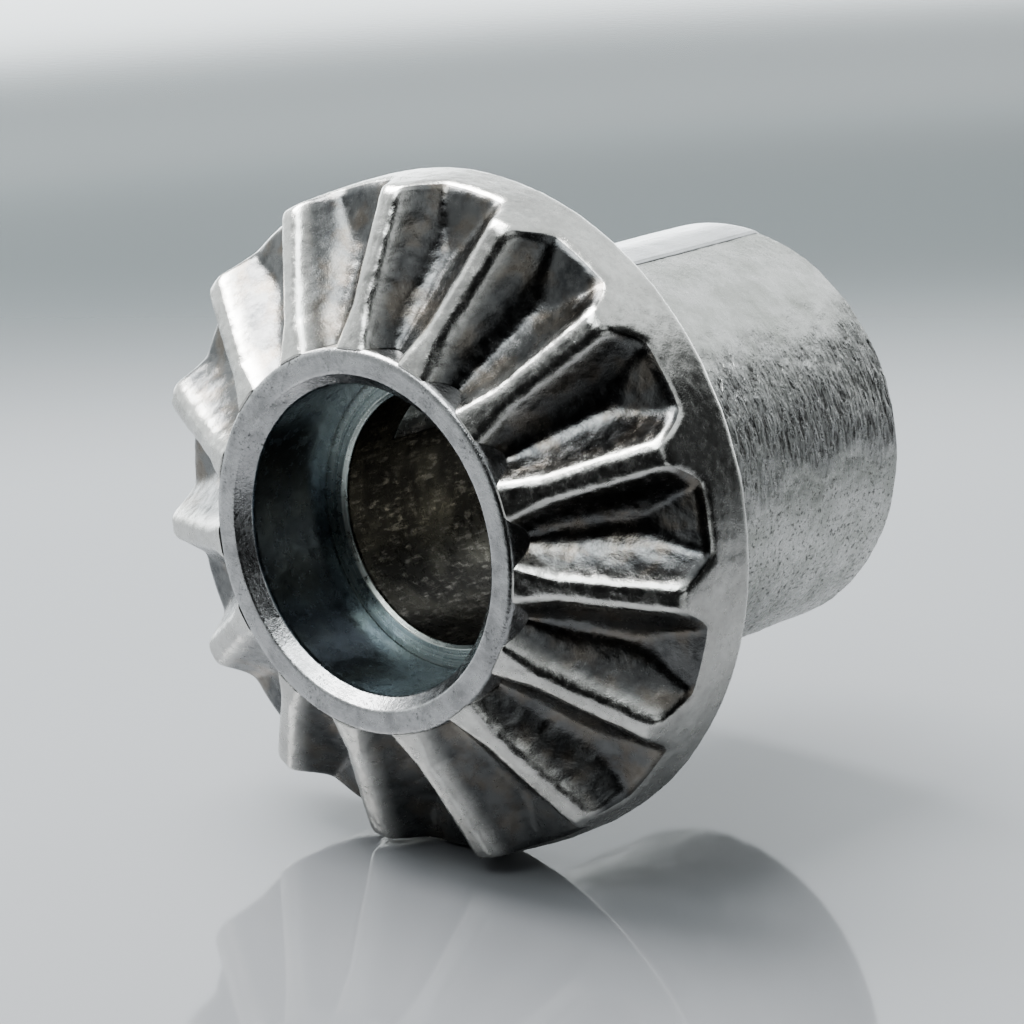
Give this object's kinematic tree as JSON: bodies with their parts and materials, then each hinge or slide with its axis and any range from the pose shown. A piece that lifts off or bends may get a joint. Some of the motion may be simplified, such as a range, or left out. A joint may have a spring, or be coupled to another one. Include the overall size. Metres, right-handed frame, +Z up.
{
  "type": "bevel gear with long hub",
  "caption": "Straight bevel pinion on a long tubular hub, with a counterbored mouth and a slotted bush in its bore.",
  "frame": {"origin": "centre of the hub's end face, on the axis of the bore, which is where the shaft goes in", "axes": "+Y along the gear's axis, from the toothed mouth to the end of the hub, and +Z up as the gear lies; the toothed mouth faces -Y"},
  "size_m": [0.042, 0.0368, 0.042],
  "materials": {
    "formed_steel": "satin",
    "cast_skin": "satin",
    "dark_bush": "satin",
    "ground_steel": "satin"
  },
  "bodies": {
    "root": {"gear_head": "formed_steel", "hub_sleeve": "cast_skin", "bore_bush": "dark_bush", "hub_key": "ground_steel"}
  },
  "joints": []
}
